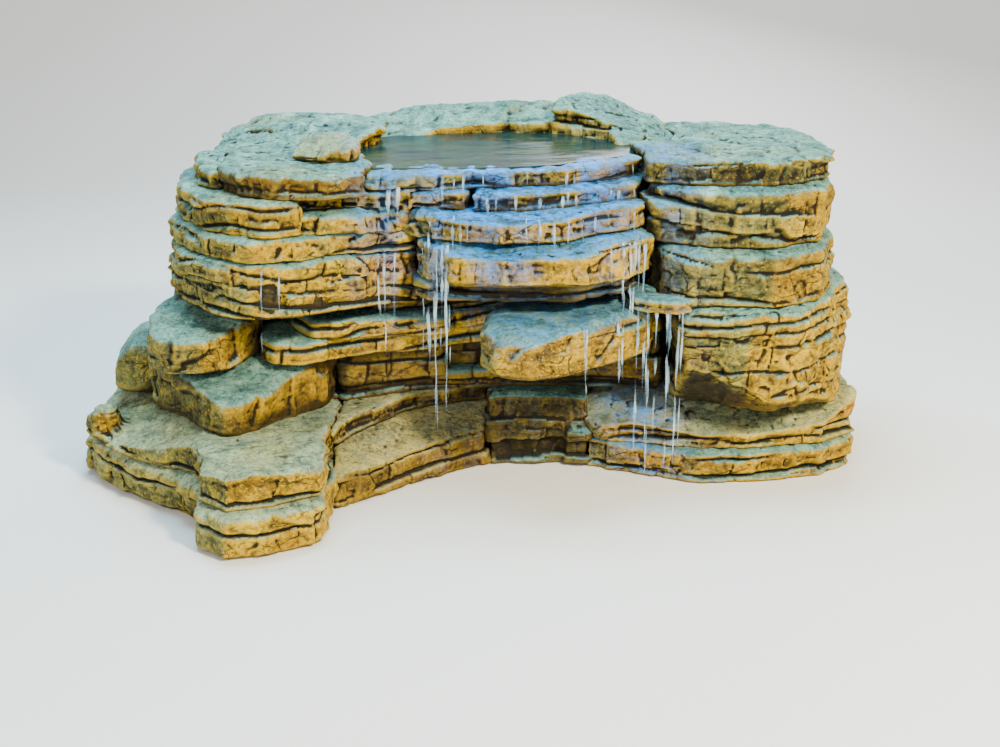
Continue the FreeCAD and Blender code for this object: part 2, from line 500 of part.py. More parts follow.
parts["lever_nut"] = hexagon(V(RISER_X, lever_y + LEVER_THICK + 6, VALVE_Z), BACK, 22, 6).cut(
    Part.makeCylinder(STEM_R, 30, V(RISER_X, lever_y, VALVE_Z), BACK))

# ---------------------------------------------------------------- frame under the tub
leg_top = TUB_FLOOR - 4


def leg(x, y):
    """An angle-section leg with a drilled foot plate. Its corner points away from the bay's middle."""
    sx = 1 if x < 0 else -1
    sy = 1 if y < 400 else -1
    plate_x = sorted((x - sx * 6, x + sx * (FOOT_PLATE - 6)))
    plate_y = sorted((y - sy * 6, y + sy * (FOOT_PLATE - 6)))
    plate = box(*plate_x, *plate_y, 0, FOOT_T)
    hole = V(x + sx * (FOOT_PLATE / 2 + 4), y + sy * (FOOT_PLATE / 2 + 4), -1)
    plate = plate.cut(Part.makeCylinder(ANCHOR_HOLE_R, FOOT_T + 2, hole))
    flank = box(*sorted((x, x + sx * ANGLE_T)), *sorted((y, y + sy * ANGLE)), 0, leg_top)
    web = box(*sorted((x, x + sx * ANGLE)), *sorted((y, y + sy * ANGLE_T)), 0, leg_top)
    return plate.fuse(flank).fuse(web)


def side_frame(x):
    """Two legs joined by rails at the top and lower down."""
    sx = 1 if x < 0 else -1
    frame = leg(x, LEG_Y[0]).fuse(leg(x, LEG_Y[1]))
    for z in (leg_top - ANGLE, 150):
        frame = frame.fuse(box(*sorted((x, x + sx * ANGLE_T)), LEG_Y[0], LEG_Y[1], z, z + ANGLE))
    return frame.fuse(box(*sorted((x, x + sx * ANGLE)), LEG_Y[0], LEG_Y[1], leg_top - ANGLE_T, leg_top))


def cross_rail(y):
    """An angle-section rail under the tub, from side to side."""
    sy = 1 if y < 400 else -1
    web = box(*LEG_X, *sorted((y, y + sy * ANGLE_T)), leg_top - ANGLE, leg_top)
    return web.fuse(box(*LEG_X, *sorted((y, y + sy * (ANGLE + 8))), leg_top - ANGLE_T, leg_top))


frame = side_frame(LEG_X[0]).fuse(side_frame(LEG_X[1]))
for y in LEG_Y:
    frame = frame.fuse(cross_rail(y))
parts["tub_frame"] = frame.removeSplitter()

# Rubber pads between the rails and the tub's floor
PAD = 26.0
PAD_X = ((-250.0, 340.0), (-130.0, 200.0))
parts["tub_pads"] = Part.makeCompound(
    [box(x, x + PAD, *sorted((y + sy * 6, y + sy * (6 + PAD))), leg_top, TUB_FLOOR)
     for y, sy, places in ((LEG_Y[0], 1, PAD_X[0]), (LEG_Y[1], -1, PAD_X[1])) for x in places])

# ---------------------------------------------------------------- write the nodes
# The outlines above are laid out from a point by the pool's edge; here the origin moves under the middle.
whole = Part.makeCompound(list(parts.values())).BoundBox
middle = V((whole.XMin + whole.XMax) / 2, (whole.YMin + whole.YMax) / 2, 0)
os.makedirs("parts", exist_ok=True)
for name, shape in parts.items():
    shape.translate(middle * -1)
    shape.exportStep(f"parts/{name}.step")
print(len(parts), "nodes, moved by", tuple(middle * -1))
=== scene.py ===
"""Looks of the artificial-rock waterfall: carved rocks, fittings, the basin's water, light and camera."""
import json
import math

import bmesh
import bpy
import numpy as np
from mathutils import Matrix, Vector
from mathutils.bvhtree import BVHTree


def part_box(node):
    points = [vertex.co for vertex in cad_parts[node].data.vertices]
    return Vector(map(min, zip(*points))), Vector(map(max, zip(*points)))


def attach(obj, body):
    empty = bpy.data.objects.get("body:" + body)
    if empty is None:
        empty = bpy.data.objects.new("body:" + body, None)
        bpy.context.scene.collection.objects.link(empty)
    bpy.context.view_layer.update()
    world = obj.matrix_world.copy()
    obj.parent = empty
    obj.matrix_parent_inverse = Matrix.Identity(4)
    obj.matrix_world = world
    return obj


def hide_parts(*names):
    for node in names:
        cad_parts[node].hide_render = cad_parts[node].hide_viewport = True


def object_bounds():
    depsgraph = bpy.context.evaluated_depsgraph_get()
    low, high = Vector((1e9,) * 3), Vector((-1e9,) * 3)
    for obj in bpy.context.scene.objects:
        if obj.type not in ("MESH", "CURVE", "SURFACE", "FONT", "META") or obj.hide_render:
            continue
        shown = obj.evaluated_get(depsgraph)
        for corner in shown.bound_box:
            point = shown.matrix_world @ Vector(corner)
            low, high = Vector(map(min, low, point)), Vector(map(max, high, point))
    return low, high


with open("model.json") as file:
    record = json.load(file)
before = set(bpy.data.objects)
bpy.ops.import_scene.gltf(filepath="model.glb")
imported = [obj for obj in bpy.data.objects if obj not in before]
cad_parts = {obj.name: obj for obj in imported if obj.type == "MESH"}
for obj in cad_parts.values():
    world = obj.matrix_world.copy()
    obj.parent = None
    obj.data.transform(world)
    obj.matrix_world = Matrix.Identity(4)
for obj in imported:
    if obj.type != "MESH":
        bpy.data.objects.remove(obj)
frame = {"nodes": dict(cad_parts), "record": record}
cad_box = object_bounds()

ROOT = "waterfall"
NODES = frame["nodes"]
BODY_OF = {n: body for body, members in frame["record"]["behaviour"]["bodies"].items() for n in members}
SLOT_OF = {part["node"]: part["material_slot"] for part in frame["record"]["subparts"]}
ROCKS = [n for n in NODES if SLOT_OF.get(n) == "cast_rock"]
PANELS = ("rear_wall", "access_panel")  # carved as they are, so that their openings and edges stay
VOXEL, COARSE_VOXEL, QUICK_VOXEL = 0.0047, 0.0075, 0.016  # edge lengths of the remeshed rocks, in metres


# ------------------------------------------------------------------ noise
def hashed(ix, iy, iz, seed):
    """A repeatable number from 0 to 1 for each cell of an integer lattice."""
    h = (ix.astype(np.int64) * 73856093) ^ (iy.astype(np.int64) * 19349663) ^ (iz.astype(np.int64) * 83492791)
    h = (h ^ (np.int64(seed) * 2654435761)) & 0xFFFFFFFF
    h = (((h >> 16) ^ h) * 0x45D9F3B) & 0xFFFFFFFF
    h = (((h >> 16) ^ h) * 0x45D9F3B) & 0xFFFFFFFF
    return (((h >> 16) ^ h) & 0xFFFFFF) / float(0xFFFFFF)


def noise(p, scale, seed=0):
    """Smooth value noise from -1 to 1; scale is the size of its lumps, one number or one for each axis."""
    q = p / np.asarray(scale, float)
    cell = np.floor(q).astype(np.int64)
    f = q - cell
    f = f * f * f * (f * (f * 6 - 15) + 10)
    total = np.zeros(len(p))
    for dx in (0, 1):
        wx = f[:, 0] if dx else 1 - f[:, 0]
        for dy in (0, 1):
            wy = f[:, 1] if dy else 1 - f[:, 1]
            for dz in (0, 1):
                wz = f[:, 2] if dz else 1 - f[:, 2]
                total += wx * wy * wz * hashed(cell[:, 0] + dx, cell[:, 1] + dy, cell[:, 2] + dz, seed)
    return total * 2 - 1


def fractal(p, scale, octaves, seed=0):
    """Noise in octaves, each half the size and half the height of the one before."""
    total = np.zeros(len(p))
    size = 1.0
    for k in range(octaves):
        total += size * noise(p, np.asarray(scale, float) / 2 ** k, seed + 17 * k)
        size *= 0.5
    return total


def blocks(p, size, layer, seed):
    """Cells of a plan-view Voronoi pattern that differs from layer to layer.

    Gives each point its cell's number from 0 to 1 and how far it is from the cell's edge, in metres.
    """
    q = p[:, :2] / size
    base = np.floor(q).astype(np.int64)
    nearest = np.full(len(p), 9.0)
    second = np.full(len(p), 9.0)
    own = np.zeros(len(p))
    for dx in (-1, 0, 1):
        for dy in (-1, 0, 1):
            cx, cy = base[:, 0] + dx, base[:, 1] + dy
            px = cx + 0.15 + 0.7 * hashed(cx, cy, layer, seed)
            py = cy + 0.15 + 0.7 * hashed(cx, cy, layer, seed + 1)
            d = np.hypot(q[:, 0] - px, q[:, 1] - py)
            closer = d < nearest
            second = np.where(closer, nearest, np.minimum(second, d))
            own = np.where(closer, hashed(cx, cy, layer, seed + 2), own)
            nearest = np.where(closer, d, nearest)
    return own, (second - nearest) * size * 0.5


def facets(p, size, seed):
    """Broken flats: inside each cell of a 3-D pattern the height is a tilted plane."""
    q = p / np.asarray(size, float)
    base = np.floor(q - 0.5).astype(np.int64)
    nearest = np.full(len(p), 9.0)
    height = np.zeros(len(p))
    for dx in (0, 1):
        for dy in (0, 1):
            for dz in (0, 1):
                c = [base[:, 0] + dx, base[:, 1] + dy, base[:, 2] + dz]
                d = [q[:, k] - c[k] - 0.5 - 0.5 * (hashed(*c, seed + k) - 0.5) for k in range(3)]
                far = d[0] ** 2 + d[1] ** 2 + d[2] ** 2
                plane = sum(d[k] * (hashed(*c, seed + 4 + k) - 0.5) for k in range(3)) * 2
                plane += 0.6 * (hashed(*c, seed + 9) - 0.5)
                closer = far < nearest
                height = np.where(closer, plane, height)
                nearest = np.where(closer, far, nearest)
    return height


# ------------------------------------------------------------------ bedding layers, shared by all rocks
THICKNESSES = [0.018, 0.028, 0.040, 0.054, 0.072, 0.090]
SHARES = [0.14, 0.22, 0.24, 0.18, 0.13, 0.09]
LAYER_TOPS = np.cumsum(np.random.default_rng(7).choice(THICKNESSES, 50, p=SHARES)) - 0.1


def bent(p):
    """One gentle warp for the whole stack, so that courses wave together and still fit each other.

    It fades out at the ground and towards the plain rear wall.
    """
    keep = np.clip((p[:, 2] - 0.03) / 0.12, 0, 1) * np.clip((0.50 - p[:, 1]) / 0.10, 0, 1)
    out = p.copy()
    out[:, 2] += keep * (0.013 * noise(p, 0.52, 41) + 0.007 * noise(p, 0.19, 42))
    out[:, 0] += keep * 0.010 * noise(p, 0.27, 43)
    out[:, 1] += keep * 0.010 * noise(p, 0.27, 44)
    return out


def outer_skin(node):
    """The closed outer surface of a rock: the cavity of a hollow one is left out and its foot filled in."""
    bm = bmesh.new()
    bm.from_mesh(NODES[node].data)
    bmesh.ops.remove_doubles(bm, verts=bm.verts, dist=2e-5)
    foot = min(v.co.z for v in bm.verts)
    foot_ring = [f for f in bm.faces if f.normal.z < -0.99 and f.calc_center_median().z < foot + 5e-4]
    bmesh.ops.delete(bm, geom=foot_ring, context="FACES")
    island = largest_island(bm)
    bmesh.ops.delete(bm, geom=[f for f in bm.faces if f not in island], context="FACES")
    bmesh.ops.delete(bm, geom=[v for v in bm.verts if not v.link_faces], context="VERTS")
    rim = [e for e in bm.edges if e.is_boundary]
    bmesh.ops.holes_fill(bm, edges=rim, sides=0)
    bmesh.ops.triangulate(bm, faces=bm.faces[:])
    out = bpy.data.meshes.new(node + "_skin")
    bm.to_mesh(out)
    bm.free()
    return out


def largest_island(bm):
    """The connected set of faces that spans the largest box."""
    bm.faces.ensure_lookup_table()
    seen, best, best_size = set(), set(), -1.0
    for start in bm.faces:
        if start in seen:
            continue
        island, queue = {start}, [start]
        seen.add(start)
        while queue:
            for e in queue.pop().edges:
                for f in e.link_faces:
                    if f not in seen:
                        seen.add(f)
                        island.add(f)
                        queue.append(f)
        corners = np.array([v.co for f in island for v in f.verts])
        size = float(np.linalg.norm(corners.max(0) - corners.min(0)))
        if size > best_size:
            best, best_size = island, size
    return best


def remeshed(name, mesh, voxel):
    """A new object with an even skin of small quads over the mesh."""
    temp = added(name + "_temp", mesh)
    mod = temp.modifiers.new("remesh", "REMESH")
    mod.mode = "VOXEL"
    mod.voxel_size = voxel
    out = bpy.data.meshes.new_from_object(temp.evaluated_get(bpy.context.evaluated_depsgraph_get()))
    bpy.data.objects.remove(temp)
    out.name = name
    return added(name, out)


def read(data, field):
    """A three-part field of a mesh's vertices or normals, as an array with a row for each."""
    out = np.empty(len(data) * 3, np.float32)
    data.foreach_get(field, out)
    return out.reshape(-1, 3).astype(float)


def edge_pairs(mesh):
    """The two vertex numbers of each edge."""
    pairs = np.empty(len(mesh.edges) * 2, np.int32)
    mesh.edges.foreach_get("vertices", pairs)
    return pairs.reshape(-1, 2)


def smoothed(values, pairs, rounds):
    """Each vertex's value drawn to the mean of its neighbours' again and again."""
    count = np.bincount(pairs.ravel(), minlength=len(values)).astype(float)
    count[count == 0] = 1
    v = values.astype(float)
    for _ in range(rounds):
        cols = v if v.ndim == 2 else v[:, None]
        total = np.empty_like(cols)
        for k in range(cols.shape[1]):
            total[:, k] = (np.bincount(pairs[:, 0], cols[pairs[:, 1], k], len(cols))
                           + np.bincount(pairs[:, 1], cols[pairs[:, 0], k], len(cols)))
        mean = total / count[:, None]
        v = (0.5 * cols + 0.5 * mean).reshape(v.shape)
    return v


def shade_smooth(mesh):
    for f in mesh.polygons:
        f.use_smooth = True


def added(name, data):
    """A new object in the scene that shows the given mesh, light or camera."""
    obj = bpy.data.objects.new(name, data)
    bpy.context.scene.collection.objects.link(obj)
    return obj


def attribute(mesh, name, values):
    """Stores one number for each vertex, for the material to read."""
    layer = mesh.attributes.new(name, "FLOAT", "POINT")
    layer.data.foreach_set("value", values.astype(np.float32))


class Enclosure:
    """How shut in each place is: the share of rock in a ball of space around it, from a coarse grid."""

    def __init__(self, cell=0.014):
        margin = 0.15
        low, high = np.array(cad_box[0]) - margin, np.array(cad_box[1]) + margin
        self.low, self.cell = low, cell
        self.full = np.zeros(np.ceil((high - low) / cell).astype(int), np.float32)
        for node in ROCKS + ["water_tub"]:
            self.fill(node)
        blurred = self.full
        for axis in range(3):
            for _ in range(2):
                blurred = self.averaged(blurred, axis, 3)
        self.share = blurred

    def fill(self, node):
        """Marks the cells from each spot's lowest to its highest surface, so hollow rocks count as full."""
        tree = BVHTree.FromObject(NODES[node], bpy.context.evaluated_depsgraph_get())
        (x0, y0, z0), (x1, y1, z1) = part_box(node)
        down = Vector((0, 0, -1))
        for i in range(self.index(x0, 0), self.index(x1, 0) + 1):
            for j in range(self.index(y0, 1), self.index(y1, 1) + 1):
                x, y = self.low[0] + (i + 0.5) * self.cell, self.low[1] + (j + 0.5) * self.cell
                top = tree.ray_cast(Vector((x, y, z1 + 0.1)), down)[0]
                foot = tree.ray_cast(Vector((x, y, z0 - 0.1)), -down)[0]
                if top is not None and foot is not None and node != "water_tub":
                    foot_z = foot.z if foot.z < z0 + 0.02 or node == "rear_wall" else z0
                    self.full[i, j, self.index(foot_z, 2):self.index(top.z, 2)] = 1
                elif top is not None:
                    self.full[i, j, self.index(z0, 2):self.index(top.z, 2)] = 1

    def index(self, value, axis):
        """The cell that holds a coordinate."""
        return int((value - self.low[axis]) / self.cell)

    @staticmethod
    def averaged(grid, axis, reach):
        """A running mean over 2 * reach + 1 cells."""
        width = [(0, 0)] * 3
        width[axis] = (reach + 1, reach)
        total = np.cumsum(np.pad(grid, width), axis=axis, dtype=np.float64)
        n = grid.shape[axis]
        upper = np.take(total, np.arange(2 * reach + 1, 2 * reach + 1 + n), axis=axis)
        lower = np.take(total, np.arange(0, n), axis=axis)
        return ((upper - lower) / (2 * reach + 1)).astype(np.float32)

    def at(self, p):
        """The share at each point, blended between the eight cells round it."""
        q = (p - self.low) / self.cell - 0.5
        base = np.clip(np.floor(q).astype(int), 0, np.array(self.share.shape) - 2)
        f = np.clip(q - base, 0, 1)
        total = np.zeros(len(p))
        for dx in (0, 1):
            for dy in (0, 1):
                for dz in (0, 1):
                    w = np.abs(1 - dx - f[:, 0]) * np.abs(1 - dy - f[:, 1]) * np.abs(1 - dz - f[:, 2])
                    total += w * self.share[base[:, 0] + dx, base[:, 1] + dy, base[:, 2] + dz]
        return total


def carve(obj, seed, foot, wear=4, grow=0.004, square=0.006, lumps=0.009, flats=0.015, pits=0.34, crown=0.45,
          relief=0.016, ragged=0.011, beds=1.0, joints=0.42, block=0.24, tilt=(0.0, 0.0), facing=0,
          damp_and_shade=0.0, warm=0.0, dry=0.0, dry_side=None, straw=0.0, sunlit_past_x=None, inset=None):
    """Turns a smooth block into weathered layered rock, and stores what the material needs.

    Shape: wear counts rounds of rounding. grow pushes out every face, square the upper and lower edges.
    lumps and flats are the heights of broad waves and broken flats, crown is their share on level faces,
    and pits sizes the smaller flats against flats. relief is the depth of cracks and steps, and ragged
    how far a layer's edge wanders. beds and joints are the strength of level and upright cracks, and
    block is the spacing of upright ones. tilt slopes the layers along x and y. facing=1 carves only the
    side that looks along +y.
    Looks: damp darkens with painted shade and the darkness of damp rock, warm gilds the faces with painted
    sunlight, and straw yellows the tops. dry keeps the cascade's film off upright faces, more and more from
    dry_side's first x to its second. gilded paints less sunlight on the faces before its first x and more
    past its second. inset is the x and z of one ochre stone.
    """
    mesh = obj.data
    p = read(mesh.vertices, "co")
    pairs = edge_pairs(mesh)
    p = smoothed(p, pairs, wear)
    mesh.vertices.foreach_set("co", p.astype(np.float32).ravel())
    mesh.update()
    n = smoothed(read(mesh.vertex_normals, "vector"), pairs, 5)
    n /= np.linalg.norm(n, axis=1)[:, None] + 1e-9
    level = np.abs(n[:, 2])
    upright = np.clip(1.15 - 1.2 * level, 0, 1)
    zero = np.zeros(len(p), np.int64)

    # bedding layers, waved and tilted a little
    zz = p[:, 2] + 0.017 * noise(p, 0.36, seed + 3) + 0.008 * noise(p, 0.13, seed + 4)
    zz += 0.003 * noise(p, 0.05, seed)
    zz += tilt[0] * p[:, 0] + tilt[1] * p[:, 1]
    layer = np.maximum(np.searchsorted(LAYER_TOPS, zz), 1)
    above = LAYER_TOPS[layer] - zz
    below = np.abs(zz - LAYER_TOPS[layer - 1])
    bold = hashed(layer, zero, zero, seed + 8)
    bed = np.minimum(above * 0.8, below)
    open_here = np.clip(0.50 + 1.6 * noise(p, (0.18, 0.18, 0.05), seed + 9), 0.0, 1) * beds
    bed_crack = np.exp(-(bed / 0.0046) ** 2) * open_here
    undercut = np.exp(-below / 0.012) * open_here

    # upright joints that differ from layer to layer
    bent_p = p + 0.022 * np.stack([noise(p, 0.10, seed + 5), noise(p, 0.10, seed + 15), zero], 1)
    own, edge = blocks(bent_p, block, layer, seed + 6)
    joint_open = np.clip(0.45 + 1.4 * noise(p, 0.16, seed + 10), 0, 1)
    joint_crack = np.exp(-(edge / 0.0040) ** 2) * joint_open * joints

    # how far each point moves along its normal, in metres
    step = relief * (1.2 * (bold - 0.5) * beds + 1.7 * (own - 0.5) * joints)
    cut = relief * (0.95 * bed_crack + 0.55 * undercut + 0.8 * joint_crack)
    broad = lumps * fractal(p, 0.17, 2, seed + 11) + flats * smoothed(facets(p, 0.10, seed + 30), pairs, 3)
    small = pits * flats * smoothed(facets(p, 0.034, seed + 50), pairs, 1)
    small += 0.0022 * fractal(p, (0.030, 0.030, 0.018), 2, seed + 14)
    own_edge = np.stack([p[:, 0], p[:, 1], layer * 3.7], 1)
    step += ragged * beds * (noise(own_edge, (0.16, 0.16, 1.0), seed + 60)
                             + 0.5 * noise(own_edge, (0.06, 0.06, 1.0), seed + 61))
    shift = grow + upright * (step - cut) - level * 0.4 * relief * joint_crack
    shift += broad * (crown + (1 - crown) * upright) + small
    shift += 0.026 * rubble_zone(p) * smoothed(facets(p, (0.075, 0.075, 0.045), seed + 70), pairs, 1)
    shift += square * np.clip(4 * level * (1 - level), 0, 1) ** 2
    if facing:  # keep the other sides plain
        shift *= np.clip(n[:, 1] * facing, 0, 1) ** 2

    # move the points, less up and down than sideways, and never below the rock's foot or the ground
    push = n.copy()
    push[:, 2] *= np.where(n[:, 2] > 0, 0.6, np.where(p[:, 2] > foot + 0.015, 0.9, 0.2))
    p2 = p + push * shift[:, None]
    p2[:, 2] = np.where(n[:, 2] < -0.6, np.maximum(p2[:, 2], foot), p2[:, 2])
    p2 = bent(p2)
    p2[:, 2] = np.maximum(p2[:, 2], 0.0)
    mesh.vertices.foreach_set("co", p2.astype(np.float32).ravel())
    mesh.update()

    # how deep each point lies below its surroundings
    n2 = read(mesh.vertex_normals, "vector")
    hollow = np.einsum("ij,ij->i", smoothed(p2, pairs, 5) - p2, n2)
    wide = np.einsum("ij,ij->i", smoothed(p2, pairs, 24) - p2, n2)
    coarse = (np.linalg.norm(p[pairs[:, 0]] - p[pairs[:, 1]], axis=1).mean() / 0.0054) ** 1.5
    crevice = np.clip(hollow / (0.0022 * coarse), 0, 1) * 0.7 + np.clip(wide / (0.008 * coarse), 0, 1) * 0.5
    crevice = np.maximum(crevice, 0.85 * np.maximum(bed_crack * upright, joint_crack * (0.4 + 0.6 * upright)))
    # crevice: painted shade in hollows and creases, strongest along the cut cracks, which are partly dark
    # joints
    attribute(mesh, "crevice", np.clip(crevice, 0, 1))
    # ridge: convex edges, which the material lightens as a painted highlight
    attribute(mesh, "ridge", np.clip(-hollow / (0.003 * coarse), 0, 1))
    attribute(mesh, "tone", own * 0.5 * joints + bold * 0.5 * beds + 0.5 * (1 - 0.5 * joints - 0.5 * beds))
    attribute(mesh, "up", n2[:, 2])

    # colour: how shut in (for painted shade), sunlit (painted sunlight), strawy, ochre and wet each point is
    shut = smoothed(enclosure.at(p2 + 0.045 * n), pairs, 3)
    # painted shade: darker where the rock is shut in, and darker still by each rock's damp setting, which
    # paints shade and the darkness of damp rock
    attribute(mesh, "shade", np.clip((shut - 0.14) / 0.36, 0, 1) + damp_and_shade)
    # painted sunlight: faces that turn towards +x, where the key lamp stands, and a little towards -y come
    # out goldener
    sunny = 0.42 + warm + 0.5 * n[:, 0] - 0.1 * n[:, 1]
    # painted sunlight: less before the first given x, more past the second
    if sunlit_past_x:
        wandering_x = p[:, 0] + 0.05 * noise(p, 0.12, seed + 80)
        sunny += 0.9 * np.clip((wandering_x - sunlit_past_x[0]) / (sunlit_past_x[1] - sunlit_past_x[0]), 0, 1) - 0.4
    attribute(mesh, "sunny", np.clip(sunny, 0, 1))
    attribute(mesh, "straw", np.full(len(p2), straw))
    ochre = np.zeros(len(p2))
    if inset:
        front = np.hypot(p[:, 0] - inset[0], p[:, 2] - inset[1]) + 0.2 * (p[:, 1] - p[:, 1].min())
        stone = int(np.argmin(front))
        ochre = smoothed((layer == layer[stone]) & (own == own[stone]), pairs, 2)
    attribute(mesh, "ochre", ochre)
    dryness = np.full(len(p2), dry)
    if dry_side:
        dryness *= np.clip((p2[:, 0] - dry_side[0]) / (dry_side[1] - dry_side[0]), 0, 1)
    attribute(mesh, "wet", wetness(p2, n2[:, 2]) * (1 - dryness * np.clip(1 - n2[:, 2], 0, 1)))
    shade_smooth(mesh)
    mesh.update()


# ------------------------------------------------------------------ materials
def colour(r, g, b):
    """A linear colour from the usual 0 to 255 numbers."""
    def linear(c):
        c /= 255
        return c / 12.92 if c <= 0.04045 else ((c + 0.055) / 1.055) ** 2.4
    return (linear(r), linear(g), linear(b), 1.0)


class Shader:
    """A material under construction: one short call for each node."""

    def __init__(self, name):
        self.material = bpy.data.materials.new(name)
        self.material.use_nodes = True
        self.tree = self.material.node_tree
        self.bsdf = self.tree.nodes["Principled BSDF"]
        self.place = self.tree.nodes.new("ShaderNodeTexCoord").outputs["Object"]

    def add(self, kind, **settings):
        """A node of the given kind with its settings."""
        node = self.tree.nodes.new(kind)
        for key, value in settings.items():
            setattr(node, key, value)
        return node

    def put(self, socket, value):
        """Links a node's output to the socket, or sets the socket to a constant."""
        if isinstance(value, bpy.types.NodeSocket):
            self.tree.links.new(value, socket)
        else:
            socket.default_value = value

    def scaled(self, sx, sy, sz):
        """The place on the object, multiplied along each axis."""
        node = self.add("ShaderNodeMapping")
        self.put(node.inputs["Vector"], self.place)
        node.inputs["Scale"].default_value = (sx, sy, sz)
        return node.outputs["Vector"]

    def noise(self, scale, detail=4.0, rough=0.55, vector=None, distortion=0.0):
        node = self.add("ShaderNodeTexNoise")
        self.put(node.inputs["Vector"], vector or self.place)
        node.inputs["Scale"].default_value = scale
        node.inputs["Detail"].default_value = detail
        node.inputs["Roughness"].default_value = rough
        node.inputs["Distortion"].default_value = distortion
        return node.outputs["Fac"]

    def attribute(self, name):
        return self.add("ShaderNodeAttribute", attribute_name=name).outputs["Fac"]

    def cracks(self, scale, stretch, width):
        """Hairline cracks: one along a broken-up pattern of cells, zero elsewhere."""
        wobble = self.add("ShaderNodeTexNoise")
        self.put(wobble.inputs["Vector"], self.place)
        wobble.inputs["Scale"].default_value = 7.0
        wobble.inputs["Detail"].default_value = 4.0
        moved = self.add("ShaderNodeVectorMath", operation="MULTIPLY_ADD")
        self.put(moved.inputs[0], wobble.outputs["Color"])
        moved.inputs[1].default_value = (0.20, 0.20, 0.12)
        self.put(moved.inputs[2], self.place)
        sized = self.add("ShaderNodeMapping")
        self.put(sized.inputs["Vector"], moved.outputs[0])
        sized.inputs["Scale"].default_value = stretch
        cells = self.add("ShaderNodeTexVoronoi", feature="DISTANCE_TO_EDGE")
        self.put(cells.inputs["Vector"], sized.outputs["Vector"])
        cells.inputs["Scale"].default_value = scale
        line = self.span(cells.outputs["Distance"], 0.0, width, 1.0, 0.0)
        return self.math("MULTIPLY", line, self.span(self.noise(6.0, 3, 0.6, distortion=0.8), 0.46, 0.58))

    def ramp(self, factor, *stops):
        """A colour that runs through the stops, each a place from 0 to 1 and its colour."""
        node = self.add("ShaderNodeValToRGB")
        self.put(node.inputs["Fac"], factor)
        points = node.color_ramp.elements
        while len(points) < len(stops):
            points.new(0.5)
        for point, (place, shade) in zip(points, stops):
            point.position = place
            point.color = shade
        return node.outputs["Color"]

    def span(self, value, low, high, out_low=0.0, out_high=1.0):
        """Eases from out_low to out_high while the value goes from low to high."""
        node = self.add("ShaderNodeMapRange", interpolation_type="SMOOTHSTEP")
        for key, number in zip(("Value", "From Min", "From Max", "To Min", "To Max"),
                               (value, low, high, out_low, out_high)):
            self.put(node.inputs[key], number)
        return node.outputs["Result"]

    def math(self, operation, a, b):
        node = self.add("ShaderNodeMath", operation=operation)
        self.put(node.inputs[0], a)
        self.put(node.inputs[1], b)
        return node.outputs[0]

    def mix(self, factor, a, b):
        """Colour a where the factor is 0 and colour b where it is 1."""
        node = self.add("ShaderNodeMix", data_type="RGBA", blend_type="MIX")
        self.put(node.inputs[0], factor)
        self.put(node.inputs[6], a)
        self.put(node.inputs[7], b)
        return node.outputs[2]

    def bump(self, height, distance, strength):
        node = self.add("ShaderNodeBump")
        node.inputs["Strength"].default_value = strength
        node.inputs["Distance"].default_value = distance
        self.put(node.inputs["Height"], height)
        return node.outputs["Normal"]

    def done(self, base, rough, normal=None):
        """Wires up the surface and gives the finished material."""
        self.put(self.bsdf.inputs["Base Color"], base)
        self.put(self.bsdf.inputs["Roughness"], rough)
        if normal is not None:
            self.put(self.bsdf.inputs["Normal"], normal)
        return self.material


